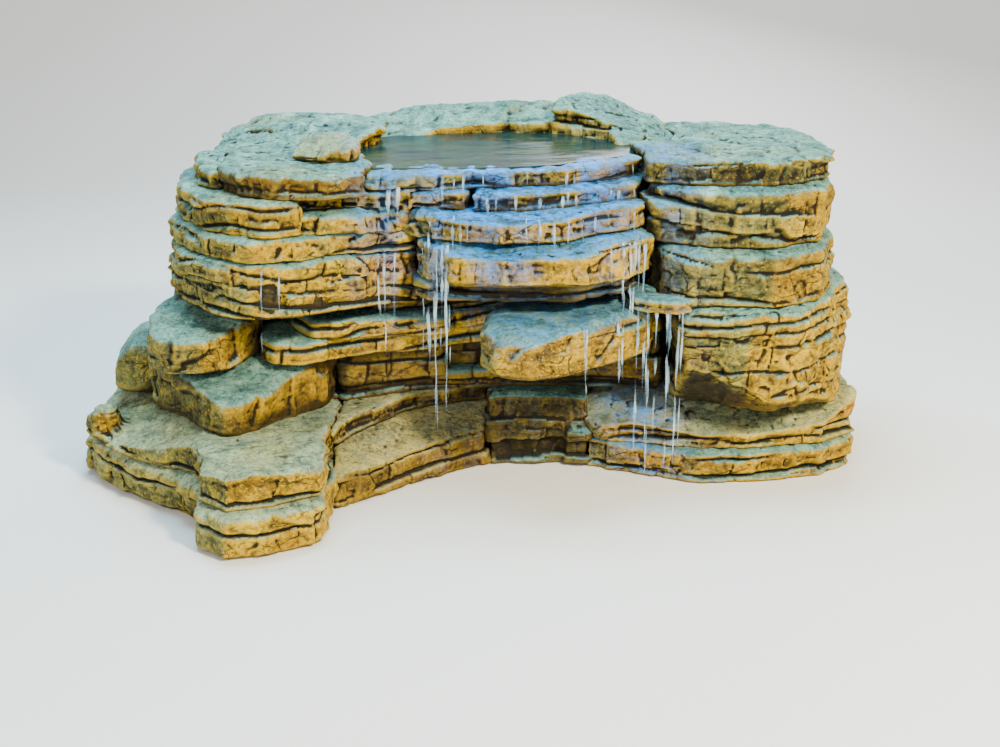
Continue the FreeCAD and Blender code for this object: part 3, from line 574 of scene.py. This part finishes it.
def rock_material():
    """Weathered sandstone: gold and olive faces, sage tops, grime, cracks, a wet film under the lip, and
    painted light and shade.
    """
    s = Shader("weathered_rock")
    s.bsdf.inputs["Specular IOR Level"].default_value = 0.15
    crevice, ridge = s.attribute("crevice"), s.attribute("ridge")
    tone, wet, up, sunny = s.attribute("tone"), s.attribute("wet"), s.attribute("up"), s.attribute("sunny")
    shade_in, straw = s.attribute("shade"), s.attribute("straw")
    patch = s.noise(3.0, 6, 0.62, distortion=0.6)
    stain = s.noise(8.5, 7, 0.68, distortion=1.0)
    mottle = s.noise(26, 6, 0.7, distortion=0.4)
    grain = s.noise(110, 4, 0.75)
    seams = s.noise(3.0, 8, 0.70, s.scaled(1.2, 1.2, 9), 0.5)

    # upright faces: gold and ochre where the painted sunlight falls, olive and brown elsewhere, with random
    # patches
    shade = s.math("ADD", s.math("MULTIPLY", stain, 0.62), s.math("MULTIPLY", tone, 0.40))
    gold = s.ramp(shade, (0.28, colour(84, 62, 10)), (0.44, colour(146, 108, 10)),
                  (0.58, colour(198, 154, 16)), (0.76, colour(230, 192, 36)))
    olive = s.ramp(shade, (0.28, colour(44, 50, 32)), (0.44, colour(82, 90, 54)),
                   (0.60, colour(124, 128, 78)), (0.78, colour(168, 168, 112)))
    patchiness = s.math("MULTIPLY", s.math("SUBTRACT", patch, 0.5), 1.6)
    warm = s.math("ADD", s.math("MULTIPLY", sunny, 0.75), patchiness)
    face = s.mix(s.span(warm, 0.22, 0.62), olive, gold)
    rusty = s.math("MULTIPLY", patch, s.span(tone, 0.25, 0.6))
    face = s.mix(s.span(rusty, 0.52, 0.68, 0.0, 0.6), face, colour(186, 112, 0))
    face = s.mix(s.math("MULTIPLY", s.attribute("ochre"), 0.7), face, colour(214, 150, 8))
    face = s.mix(s.span(seams, 0.47, 0.36, 0.0, 0.65), face, colour(62, 48, 26))

    # upward faces: sage, with straw and teal-grey patches; the blue-green tint is partly painted skylight
    flat = s.ramp(stain, (0.30, colour(52, 90, 88)), (0.44, colour(92, 136, 124)),
                  (0.58, colour(128, 170, 152)), (0.76, colour(176, 206, 184)))
    flat = s.mix(s.span(patch, 0.54, 0.72, 0.0, 0.55), flat, colour(158, 150, 70))
    flat = s.mix(s.span(patch, 0.48, 0.36, 0.0, 0.5), flat, colour(62, 108, 118))
    flat = s.mix(s.math("MULTIPLY", straw, s.span(stain, 0.40, 0.56, 0.5, 1.0)), flat, colour(206, 190, 104))
    base = s.mix(s.span(up, 0.30, 0.78), face, flat)

    # grime, mottling and grain, darker and lighter in turn
    flatness = s.math("MULTIPLY", s.span(up, 0.30, 0.78), s.math("SUBTRACT", 1.0, straw))
    dark = s.mix(flatness, colour(44, 38, 22), colour(30, 62, 66))
    light = s.mix(flatness, colour(240, 198, 28), colour(156, 212, 204))
    grime = s.noise(12, 7, 0.72, distortion=1.4)
    base = s.mix(s.span(grime, 0.52, 0.36, 0.0, 0.55), base, dark)
    base = s.mix(s.span(grime, 0.55, 0.70, 0.0, 0.35), base, light)
    spots = s.math("MULTIPLY", s.span(mottle, 0.50, 0.38, 0.0, 0.66), s.span(up, 0.3, 0.9, 1.0, 0.6))
    base = s.mix(spots, base, dark)
    base = s.mix(s.span(mottle, 0.54, 0.66, 0.0, 0.36), base, light)
    base = s.mix(s.span(grain, 0.48, 0.36, 0.0, 0.7), base, dark)
    base = s.mix(s.span(grain, 0.55, 0.67, 0.0, 0.55), base, light)
    # painted highlight along ridges and convex edges
    base = s.mix(s.math("MULTIPLY", ridge, 0.35), base, light)

    # where the cascade runs: darker as wet rock is, with a blue painted reflection of the sky, then a painted
    # sheen where the film catches the sky
    film = s.math("MULTIPLY", wet, s.span(stain, 0.35, 0.55, 0.7, 1.0))
    base = s.mix(s.math("MULTIPLY", film, 0.80), base, colour(8, 46, 84))
    glints = s.math("ADD", s.math("MULTIPLY", s.noise(16, 7, 0.75, s.scaled(1, 1, 2.5), 1.2), 0.6),
                    s.math("MULTIPLY", s.noise(60, 4, 0.7, s.scaled(0.6, 1, 1.6), 0.6), 0.4))
    # painted sheen: glints of sky painted on the wet film
    sheen = s.math("MULTIPLY", film, s.span(glints, 0.42, 0.58))
    base = s.mix(s.math("MULTIPLY", sheen, 0.95), base, colour(56, 160, 255))

    # hairline cracks, then painted shade in deep crevices, on undersides and in shut-in places
    hairline = s.cracks(7.0, (1.0, 1.0, 3.2), 0.030)
    hairline = s.math("MULTIPLY", hairline, s.span(up, 0.3, 0.8, 1.0, 0.3))
    base = s.mix(s.math("MULTIPLY", hairline, 0.85), base, colour(30, 26, 20))
    # painted shade in crevices, blue-black where wet
    crevice_shade = s.mix(wet, colour(14, 15, 16), colour(6, 24, 46))
    base = s.mix(s.span(crevice, 0.08, 0.72, 0.0, 0.95), base, crevice_shade)
    # painted shade on undersides
    base = s.mix(s.span(up, -0.2, -0.8, 0.0, 0.6), base, colour(34, 28, 20))
    # painted shade in shut-in places and on the darkened rocks, weaker on tops
    painted_shade = s.math("MULTIPLY", s.span(shade_in, 0.15, 1.0, 0.0, 0.85), s.span(up, 0.3, 0.9, 1.0, 0.15))
    base = s.mix(painted_shade, base, colour(42, 34, 24))

    rough = s.math("SUBTRACT", s.span(mottle, 0.3, 0.75, 0.66, 0.9), s.math("MULTIPLY", film, 0.45))
    height = s.math("ADD", s.math("MULTIPLY", grain, 0.45), s.math("MULTIPLY", mottle, 0.9))
    height = s.math("ADD", height, s.math("MULTIPLY", seams, 1.3))
    height = s.math("SUBTRACT", height, s.math("MULTIPLY", hairline, 0.35))
    return s.done(base, rough, s.bump(height, 0.009, 0.9))


# ------------------------------------------------------------------ the rocks
# rocks at the back, which get larger faces
COARSE = {"rear_base_left", "rear_base_right", "back_boulder", "rear_wall", "access_panel", "rear_rim"}
BOULDER = {"wear": 20, "square": 0.0, "lumps": 0.014, "flats": 0.015, "pits": 0.18, "beds": 0.10,
           "joints": 0.0}
BRICK = {"block": 0.13, "joints": 0.9, "flats": 0.006, "relief": 0.012, "ragged": 0.004, "grow": 0.016}
CAP = {"lumps": 0.012, "flats": 0.020, "crown": 0.62, "joints": 0.5, "block": 0.22}
BACK = {"facing": 1, "wear": 2, "grow": 0.0, "relief": 0.009, "beds": 0.8, "joints": 0.4, "block": 0.24}
WING = {"warm": 0.15, "straw": 0.35, "pits": 0.22}
# damp paints shade, and warm and gilded paint sunlight; the other settings shape the rock
STYLE = {  # what differs from the usual carving
    # base
    "wing_lower": {**WING, "tilt": (0.05, 0.03), "square": 0.002, "wear": 10},
    "wing_upper": {**WING, "joints": 0.2, "square": 0.0, "wear": 14, "lumps": 0.013},
    "front_base_lower": {"square": 0.0, "wear": 12, "pits": 0.25, "damp_and_shade": 0.56, "straw": 0.85, "warm": 0.1},
    "front_base_upper": {"damp_and_shade": 0.3, "straw": 0.6},
    "pool_wall": {"damp_and_shade": 0.75, "warm": -0.1, "joints": 0.5},
    "right_base_lower": {"warm": 0.1},
    "right_base_upper": {"straw": 0.6, "warm": 0.1},
    # left side
    "lower_step": {**BOULDER, "damp_and_shade": 0.38},
    "upper_step": {**BOULDER, "damp_and_shade": 0.36, "warm": -0.10},
    "back_boulder": {**BOULDER, "warm": -0.3},
    "left_flank": {"tilt": (0.05, 0.04)},
    "left_tower_lower": {"warm": 0.15, "tilt": (0.06, -0.03), "ragged": 0.017, "joints": 0.55, "block": 0.2,
                         "inset": (-0.30, 0.66)},
    "left_tower_upper": {"tilt": (-0.07, 0.03), "ragged": 0.017, "joints": 0.5},
    "left_ledges": {"tilt": (0.09, 0.0), "ragged": 0.017, "joints": 0.6, "block": 0.2},
    "left_shoulder": {"tilt": (-0.05, 0.04)},
    "left_cap": {**CAP, "beds": 0.5, "tilt": (0.04, 0.0), "damp_and_shade": 0.66},
    "left_rim_side": CAP,
    "left_rim_rear": CAP,
    "left_rim_rock": {**BOULDER, "warm": 0.2, "straw": 0.4},
    # recess and cascade
    "grotto_course_1": {**BRICK, "damp_and_shade": 0.64, "warm": 0.15},
    "grotto_course_2": {**BRICK, "warm": 0.4},
    "grotto_course_3": {"warm": 0.25, "grow": 0.018, "tilt": (-0.07, 0.0)},
    "under_ledge": {"damp_and_shade": 0.4},
    "cascade_ledge_4": {"beds": 0.5, "warm": 0.30, "lumps": 0.012, "dry": 0.95, "dry_side": (0.06, 0.20)},
    "cascade_ledge_3": {"beds": 0.6, "lumps": 0.012, "warm": 0.1, "dry": 0.55},
    "cascade_ledge_2": {"beds": 0.8, "warm": -0.2},
    "spill_lip": {"beds": 0.8, "warm": -0.2},
    "jutting_boulder": {**BOULDER, "warm": 0.40, "dry": 0.95},
    "keystone_block": {"beds": 0.3, "joints": 0.0, "warm": 0.2},
    # right side and rim
    "right_pillar": {"grow": 0.010, "beds": 0.5, "tilt": (-0.06, 0.0), "block": 0.2, "joints": 0.45,
                     "warm": 0.05, "lumps": 0.014, "flats": 0.018, "sunlit_past_x": (0.66, 0.80), "damp_and_shade": 0.15},
    "right_tower_mid": {"tilt": (0.08, 0.0), "damp_and_shade": 0.40, "beds": 0.6, "joints": 0.2, "lumps": 0.013,
                        "sunlit_past_x": (0.74, 0.92)},
    "right_tower_upper": {"tilt": (0.09, 0.02), "damp_and_shade": 0.38, "relief": 0.020, "ragged": 0.016,
                          "joints": 0.3, "sunlit_past_x": (0.72, 0.95)},
    "right_cap": {**CAP, "warm": -0.35, "tilt": (0.03, 0.0), "damp_and_shade": 0.46, "joints": 0.3},
    "rim_peak": {**CAP, "warm": -0.3},
    "rear_rim": CAP,
    # back
    "rear_wall": BACK,
    "access_panel": BACK,
}


def rubble_zone(p):
    """Strongest where the cascade's left side has broken into small stones."""
    low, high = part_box("spill_lip")
    x, z = low[0] + 0.06, low[2] - 0.05
    near = ((p[:, 0] - x) / 0.15) ** 2 + ((p[:, 2] - z) / 0.13) ** 2
    return np.exp(-near ** 2) * np.clip((high[1] - p[:, 1]) / 0.08, 0, 1)


def wetness(p, up):
    """How wet the cascade keeps each point: most on top of the ledges under the lip."""
    low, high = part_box("spill_lip")
    middle, half = (low[0] + high[0]) / 2, (high[0] - low[0]) / 2
    across = 1.7 - 1.2 * np.abs(p[:, 0] - middle - 0.02) / half + 0.3 * noise(p, (0.12, 0.3, 0.5), 90)
    front = np.clip((high[1] + 0.06 - p[:, 1]) / 0.10, 0, 1)
    drip = np.clip(0.45 + 1.6 * noise(p, (0.045, 0.4, 0.6), 91), 0, 1)
    height = np.clip((p[:, 2] - 0.35) / 0.42, 0.10, 1)
    flow = np.clip(across, 0, 1) * front * height * np.clip(0.8 * drip + 0.9 * np.clip(up, 0, 1), 0, 1)
    puddle = np.exp(-((p[:, 0] - high[0]) / 0.13) ** 2) * np.clip((0.26 - p[:, 2]) / 0.05, 0, 1)
    return np.maximum(flow, 0.6 * puddle * front * np.clip(up + 0.25, 0, 1))


def make_rock(node, seed, material):
    """The piece that stands for one rock node: its CAD block, finely remeshed and carved."""
    fine = COARSE_VOXEL if node in COARSE else VOXEL
    mesh = NODES[node].data.copy() if node in PANELS else outer_skin(node)
    piece = remeshed("rock_" + node, mesh, fine)
    carve(piece, seed, foot=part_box(node)[0][2], **STYLE.get(node, {}))
    piece.data.materials.clear()
    piece.data.materials.append(material)
    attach(piece, BODY_OF[node])
    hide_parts(node)


enclosure = Enclosure()
rock = rock_material()
for number, node in enumerate(sorted(ROCKS)):
    make_rock(node, 100 + 31 * number, rock)


# ------------------------------------------------------------------ water
def smooth_mesh(name, verts, faces, material):
    """A smooth-shaded mesh in one material."""
    mesh = bpy.data.meshes.new(name)
    mesh.from_pydata(verts, [], faces)
    shade_smooth(mesh)
    mesh.materials.append(material)
    return mesh


def water_piece(name, verts, faces, material):
    """A piece of water, which stands still with the root body."""
    piece = added(name, smooth_mesh(name, verts, faces, material))
    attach(piece, ROOT)
    return piece


def hull_outline(points, count):
    """The convex outline of some plan-view points, resampled to an even spacing."""
    points = sorted(map(tuple, np.unique(np.round(points, 5), axis=0)))
    halves = []
    for run in (points, points[::-1]):
        chain = []
        for q in run:
            while len(chain) > 1 and ((chain[-1][0] - chain[-2][0]) * (q[1] - chain[-2][1])
                                      - (chain[-1][1] - chain[-2][1]) * (q[0] - chain[-2][0])) <= 0:
                chain.pop()
            chain.append(q)
        halves += chain[:-1]
    ring = np.array(halves + halves[:1])
    along = np.concatenate([[0], np.cumsum(np.linalg.norm(np.diff(ring, axis=0), axis=1))])
    places = np.linspace(0, along[-1], count, endpoint=False)
    return np.stack([np.interp(places, along, ring[:, k]) for k in range(2)], 1)


def basin_water():
    """The basin's water: level with the lip, its rim sunk a little into the rocks round it."""
    around, reach_into_rock, depth = 120, 0.034, 0.03
    co = read(NODES["water_tub"].data.vertices, "co")
    outline = hull_outline(co[co[:, 2] > co[:, 2].max() - 0.002][:, :2], around)
    middle = outline.mean(0)
    away = outline - middle
    outline = outline + away / np.linalg.norm(away, axis=1)[:, None] * reach_into_rock
    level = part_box("spill_lip")[1][2] + 0.004
    rings = list(np.linspace(0.03, 0.95, 40)) + [0.97, 0.99, 1.0]
    sheet = np.concatenate([middle + (outline - middle) * r for r in rings])
    z = np.full(len(sheet), level)
    flat = np.column_stack([sheet, z])
    z += 0.0011 * noise(flat, (0.09, 0.05, 1), 5) + 0.0005 * noise(flat, (0.035, 0.02, 1), 6)
    z[-2 * around:-around] -= 0.004
    z[-around:] -= 0.022
    foot = np.column_stack([outline, np.full(around, level - depth)])
    verts = [tuple(v) for v in np.column_stack([sheet, z])] + [tuple(v) for v in foot]
    verts += [(middle[0], middle[1], level), (middle[0], middle[1], level - depth)]
    top, bottom, last = len(verts) - 2, len(verts) - 1, len(rings) * around
    faces = [(top, k, (k + 1) % around) for k in range(around)]
    for r in range(len(rings)):
        for k in range(around):
            a, b = r * around + k, r * around + (k + 1) % around
            faces.append((a, a + around, b + around, b))
    faces += [(bottom, last + (k + 1) % around, last + k) for k in range(around)]

    s = Shader("basin_water")
    murk = s.noise(5.0, 5, 0.6, distortion=1.5)
    fleck = s.noise(22, 6, 0.7, s.scaled(1, 2.2, 1), 1.0)
    s.bsdf.inputs["IOR"].default_value = 1.12
    base = s.ramp(murk, (0.30, colour(8, 32, 38)), (0.48, colour(16, 48, 50)),
                  (0.62, colour(36, 62, 44)), (0.78, colour(54, 76, 58)))
    base = s.mix(s.span(fleck, 0.56, 0.72, 0.0, 0.3), base, colour(96, 132, 136))
    material = s.done(base, s.span(fleck, 0.3, 0.8, 0.08, 0.22), s.bump(fleck, 0.002, 0.3))
    water_piece("basin_water", verts, faces, material)


STREAMS = [  # ledge, how many, from and to as shares of its width, longest drop, widest thread, in metres
    ("spill_lip", 13, 0.03, 0.97, 0.12, 0.004),
    ("cascade_ledge_2", 10, 0.05, 0.95, 0.10, 0.004),
    ("cascade_ledge_3", 14, 0.02, 0.98, 0.18, 0.004),
    ("cascade_ledge_4", 24, 0.0, 0.36, 0.55, 0.0045),
    ("cascade_ledge_4", 5, 0.36, 0.95, 0.16, 0.004),
    ("cascade_ledge_4", 7, 0.88, 0.99, 0.60, 0.0045),
    ("jutting_boulder", 5, 0.45, 1.0, 0.24, 0.004),
    ("jutting_boulder", 4, 0.02, 0.25, 0.24, 0.005),
    ("keystone_block", 9, 0.05, 0.95, 0.55, 0.0045),
    ("left_tower_lower", 2, 0.42, 0.52, 0.26, 0.004),
    ("left_tower_lower", 4, 0.80, 0.98, 0.30, 0.005),
]
IN_FRONT = 0.011  # how far before the CAD face a stream starts, so that the carved rock doesn't hide it
SHORTEST_DROP = 0.03
TIME_STEP = 0.006  # seconds between the points of a stream
HALF_GRAVITY = 4.9


def falling_streams():
    """Thin broken streams that leave the ledges' edges and fall to what is below."""
    corners, polygons = [], []
    for node in ROCKS:
        mesh = NODES[node].data
        offset = len(corners)
        corners += [tuple(v.co) for v in mesh.vertices]
        polygons += [tuple(offset + k for k in f.vertices) for f in mesh.polygons]
    tree = BVHTree.FromPolygons(corners, polygons)
    rand = np.random.default_rng(21)
    verts, faces, fades = [], [], []
    for node, count, first, last, most, widest in STREAMS:
        (x0, _, _), (x1, y1, z1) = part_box(node)
        for k in range(count):
            share = first + (last - first) * (k + rand.uniform(-0.6, 1.6)) / count
            x = x0 + (x1 - x0) * share
            hit = tree.ray_cast(Vector((x, -1.2, z1 - 0.014)), Vector((0, 1, 0)))[0]
            if hit is None or hit.y > y1:
                continue
            start = np.array([x, hit.y - IN_FRONT, z1 - 0.002])
            path = fall(tree, start, most * rand.uniform(0.45, 1.0), rand)
            path = path[int(rand.integers(0, 8)):]
            if path[0, 2] - path[-1, 2] > SHORTEST_DROP:
                add_broken_stream(verts, faces, fades, path, widest * rand.uniform(0.35, 1.0), rand)
    s = Shader("falling_water")
    s.bsdf.inputs["IOR"].default_value = 1.33
    streak = s.noise(30, 4, 0.6, s.scaled(2.0, 2.0, 0.45), 0.3)
    base = s.ramp(streak, (0.35, colour(120, 180, 222)), (0.6, colour(214, 234, 246)))
    clear = s.math("MULTIPLY", s.attribute("fade"), s.span(streak, 0.35, 0.65, 0.08, 0.55))
    s.put(s.bsdf.inputs["Alpha"], clear)
    material = s.done(base, s.span(streak, 0.3, 0.7, 0.10, 0.3))
    piece = water_piece("falling_water", verts, faces, material)
    attribute(piece.data, "fade", np.array(fades))


def fall(tree, start, most, rand):
    """Points of a stream from its ledge's edge until it breaks up or meets rock or the ground."""
    speed = rand.uniform(0.06, 0.20)
    side = rand.uniform(-0.04, 0.04)
    path, place, time = [start], start, 0.0
    while place[2] > 0.0 and start[2] - place[2] < most:
        time += TIME_STEP
        after = start + np.array([side * time, -speed * time, -0.12 * time - HALF_GRAVITY * time * time])
        step = Vector(after - place)
        path.append(after)
        hit = tree.ray_cast(Vector(place), step.normalized(), step.length + 0.004)[0]
        if time > 0.04 and hit is not None:
            break
        place = after
    return np.array(path)


def add_broken_stream(verts, faces, fades, path, width, rand):
    """A stream as a run of slim tapered threads with gaps, shorter and finer towards its end."""
    start = 0
    while start < len(path) - 4:
        share = start / len(path)
        stop = min(len(path), start + int(rand.integers(6, 12 + int(22 * (1 - share)))))
        add_strand(verts, faces, fades, path[start:stop], width * (1 - 0.45 * share), rand)
        start = stop + int(rand.integers(0, 2 + int(4 * share)))


def add_strand(verts, faces, fades, path, width, rand):
    """A slim flattened tube along the path, thinning and swelling as falling water does."""
    sides = 8
    seed = int(rand.integers(1, 9999))
    first, count = len(verts), len(path)
    if count < 4:
        return
    swell = 0.8 + 0.5 * noise(path, (1, 1, 0.035), seed) + 0.25 * noise(path, (1, 1, 0.012), seed + 1)
    sway = 0.0025 * noise(path, (1, 1, 0.05), seed + 2)
    for k, centre in enumerate(path):
        ends = min(1.0, 0.3 + 5.0 * k / count) * min(1.0, 0.15 + 3.0 * (count - 1 - k) / count)
        r = width * max(0.15, swell[k]) * ends
        fades += [min(1.0, 0.1 + 2.2 * min(k, count - 1 - k) / count)] * sides
        for j in range(sides):
            a = 2 * math.pi * j / sides
            x = centre[0] + sway[k] + 1.4 * r * math.cos(a)
            verts.append((x, centre[1] + 0.7 * r * math.sin(a), centre[2]))
    for k in range(count - 1):
        for j in range(sides):
            a, b = first + k * sides + j, first + k * sides + (j + 1) % sides
            faces.append((a, b, b + sides, a + sides))
    faces.append(tuple(first + j for j in range(sides))[::-1])
    faces.append(tuple(first + (count - 1) * sides + j for j in range(sides)))


basin_water()
falling_streams()


# ------------------------------------------------------------------ materials of the fittings
def fitting(slot, dark, light, rough, scale, relief=0.0006, metal=0.0, stretch=(1, 1, 1)):
    """A moulded or metal finish: two shades in soft patches, scuffs, dust and a slight relief."""
    s = Shader(slot)
    s.bsdf.inputs["Metallic"].default_value = metal
    place = s.scaled(*stretch)
    cloud = s.noise(scale * 0.25, 4, 0.6, place, 0.5)
    scuff = s.noise(scale * 4, 5, 0.7, place)
    dust = s.noise(6.0, 6, 0.65, distortion=0.8)
    base = s.ramp(cloud, (0.32, colour(*dark)), (0.68, colour(*light)))
    base = s.mix(s.span(scuff, 0.58, 0.72, 0.0, 0.3), base, colour(*(min(255, c + 26) for c in light)))
    base = s.mix(s.span(dust, 0.55, 0.75, 0.0, 0.3), base, colour(150, 138, 112))
    return s.done(base, s.span(cloud, 0.3, 0.7, rough[0], rough[1]), s.bump(scuff, relief, 0.5))


FINISHES = {slot: fitting(slot, *looks) for slot, *looks in [
    ("tub_black", (22, 24, 24), (40, 43, 41), (0.42, 0.62), 60),
    ("fitting_black", (24, 24, 26), (44, 44, 46), (0.35, 0.52), 80),
    ("rubber_black", (18, 18, 18), (34, 33, 32), (0.75, 0.92), 120, 0.0012),
    ("pipe_white", (196, 195, 184), (226, 225, 216), (0.28, 0.42), 30),
    ("pipe_grey", (84, 88, 94), (112, 116, 120), (0.30, 0.46), 30),
    ("ball_white", (206, 205, 198), (228, 227, 220), (0.10, 0.20), 30, 0.0002),
    ("lever_red", (136, 16, 14), (176, 30, 24), (0.30, 0.48), 60),
    ("steel_bright", (150, 152, 154), (186, 188, 190), (0.22, 0.38), 90, 0.0003, 1.0, (1, 12, 1)),
    ("steel_galvanised", (118, 124, 128), (164, 170, 172), (0.38, 0.60), 90, 0.0006, 1.0),
]}
for node, obj in NODES.items():
    for holder in obj.material_slots:
        if SLOT_OF[node] in FINISHES:
            holder.material = FINISHES[SLOT_OF[node]]


# ------------------------------------------------------------------ floor, light and camera
def floor_and_backdrop():
    """A pale floor that curves up behind the object."""
    s = Shader("floor")
    s.bsdf.inputs["Base Color"].default_value = (0.9, 0.9, 0.9, 1)
    s.bsdf.inputs["Roughness"].default_value = 0.9
    front, bend_start, radius, top, half_width = -9.0, 4.0, 3, 9.0, 14.0
    bend = [(bend_start + radius * math.sin(a), radius - radius * math.cos(a))
            for a in np.linspace(0, math.pi / 2, 16)]
    profile = [(front, 0.0)] + bend + [(bend_start + radius, top)]
    verts = [(x, y, z - 0.001) for y, z in profile for x in (-half_width, half_width)]
    faces = [(2 * k, 2 * k + 1, 2 * k + 3, 2 * k + 2) for k in range(len(profile) - 1)]
    added("floor", smooth_mesh("floor", verts, faces, s.material))


def area_light(name, place, target, size, power, shade):
    """A round soft light that looks at the target; size in metres, power in watts."""
    data = bpy.data.lights.new(name, "AREA")
    data.shape = "DISK"
    data.size = size
    data.energy = power
    data.color = shade
    lamp = added(name, data)
    lamp.location = place
    lamp.rotation_euler = (Vector(target) - Vector(place)).to_track_quat("-Z", "Y").to_euler()


floor_and_backdrop()
area_light("key", (2.6, -3.4, 3.6), (0.1, -0.1, 0.4), 0.8, 520, (1.0, 0.91, 0.66))
area_light("sky", (-0.6, 0.8, 4.2), (0.0, 0.0, 0.5), 3.0, 320, (0.48, 0.80, 1.0))
area_light("fill", (-1.8, -4.4, 2.2), (0.0, 0.0, 0.3), 2.2, 105, (1.0, 0.95, 0.86))
area_light("back", (1.5, 5.0, 3.0), (0.0, 0.0, 0.5), 3.0, 160, (1.0, 0.98, 0.95))

world = bpy.data.worlds.new("world")
world.use_nodes = True
world.node_tree.nodes["Background"].inputs["Color"].default_value = (1.0, 0.985, 0.95, 1)
world.node_tree.nodes["Background"].inputs["Strength"].default_value = 0.42
bpy.context.scene.world = world

EYE_HEIGHT, DOWNWARD, FIELD = 1.6, 18.5, 38.0  # metres, and degrees of downward angle and of view
lens = bpy.data.cameras.new("camera")
lens.sensor_width = 36.0
lens.angle = math.radians(FIELD)
camera = added("camera", lens)
camera.location = (0.0775, -3.972, EYE_HEIGHT)
camera.rotation_euler = (math.radians(90 - DOWNWARD), 0, 0)
bpy.context.scene.camera = camera
